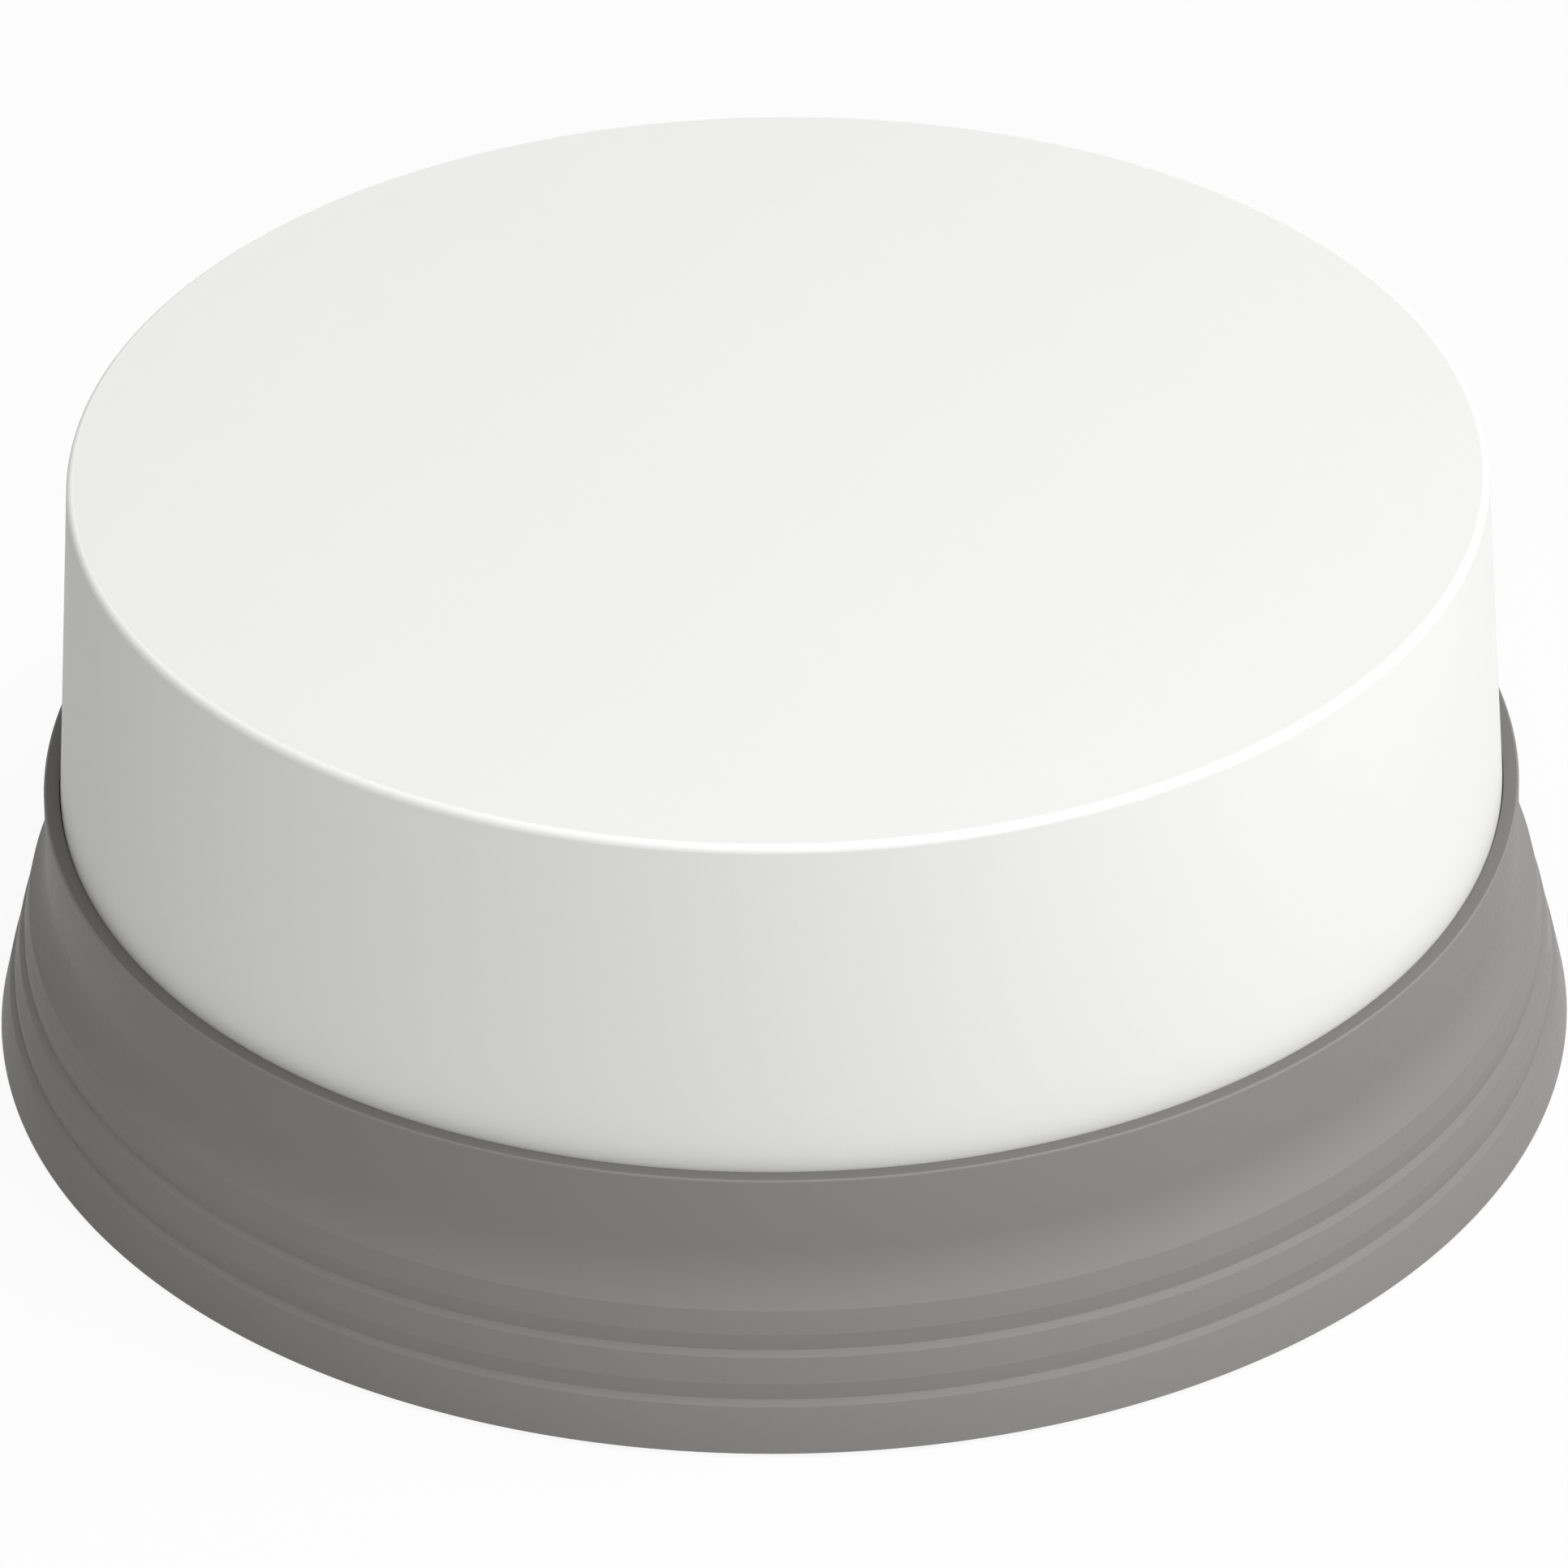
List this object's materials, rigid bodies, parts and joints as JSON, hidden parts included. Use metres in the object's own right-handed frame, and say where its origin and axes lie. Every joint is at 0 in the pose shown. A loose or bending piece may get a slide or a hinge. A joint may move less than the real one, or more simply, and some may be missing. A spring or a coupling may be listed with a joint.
{
  "type": "pedestrian push button",
  "caption": "Round surface-mounted pedestrian push button: a large white press cap on a flared grey base ring, with a sprung cap that works a snap-action switch.",
  "frame": {"origin": "centre of the base's back face, where it meets the surface that it is mounted on", "axes": "+Z out of that surface, towards the pressing hand; +X to the right and +Y up the pole when it is mounted upright"},
  "size_m": [0.0762, 0.0762, 0.0301],
  "materials": {
    "base_grey": "satin grey moulded plastic, slightly warm",
    "cap_white": "fine-textured white moulded plastic",
    "black_rubber": "matt black rubber",
    "stainless": "brushed stainless sheet",
    "screw_steel": "plain stainless screws, nuts and pins",
    "insert_brass": "turned and knurled brass",
    "chassis_black": "glass-filled black moulding",
    "bush_natural": "natural acetal",
    "spring_steel": "drawn spring wire and strip",
    "switch_dark": "phenolic switch case",
    "plunger_red": "red moulded plunger",
    "terminal_tin": "tinned brass",
    "block_green": "green terminal housing",
    "lead_pvc": "insulated lead wire"
  },
  "bodies": {
    "housing": {"bezel_ring": "base_grey", "base_gasket": "black_rubber", "back_plate": "stainless", "press_nuts": "screw_steel", "cable_grommet": "black_rubber", "plate_screws": "screw_steel", "plate_inserts": "insert_brass", "chassis": "chassis_black", "chassis_oring": "black_rubber", "chassis_screws": "screw_steel", "guide_bushes": "bush_natural", "stop_ring": "black_rubber", "wiper_ring": "black_rubber", "switch_bracket": "stainless", "bracket_screws": "screw_steel", "switch_case": "switch_dark", "switch_terminals": "terminal_tin", "switch_screws": "screw_steel", "switch_nuts": "screw_steel", "lever_pin": "screw_steel", "terminal_block": "block_green", "clamp_screws": "screw_steel", "switch_leads": "lead_pvc", "return_springs": "spring_steel"},
    "button": {"button_cap": "cap_white", "cap_inserts": "insert_brass", "shoulder_screws": "screw_steel", "rebound_washers": "black_rubber", "striker": "bush_natural"},
    "lever": {"switch_lever": "spring_steel"},
    "plunger": {"switch_plunger": "plunger_red"}
  },
  "joints": [
    {"name": "cap_press", "type": "slide", "parent": "housing", "child": "button", "axis": [0, 0, -1], "range_m": [0, 0.0025], "stiffness_N_per_m": 2400, "springref_m": -0.00333, "deforming": ["return_springs"]},
    {"name": "lever_swing", "type": "hinge", "parent": "housing", "child": "lever", "pos_m": [-0.015, 0, 0.0208], "axis": [0, 1, 0], "range_deg": [0, 9.6]},
    {"name": "plunger_press", "type": "slide", "parent": "housing", "child": "plunger", "axis": [0, 0, -1], "range_m": [0, 0.001]}
  ],
  "couplings": [
    {"joint": "lever_swing", "follows": "cap_press", "rad_per_m": 66.32},
    {"joint": "plunger_press", "follows": "cap_press", "ratio": 0.388}
  ]
}
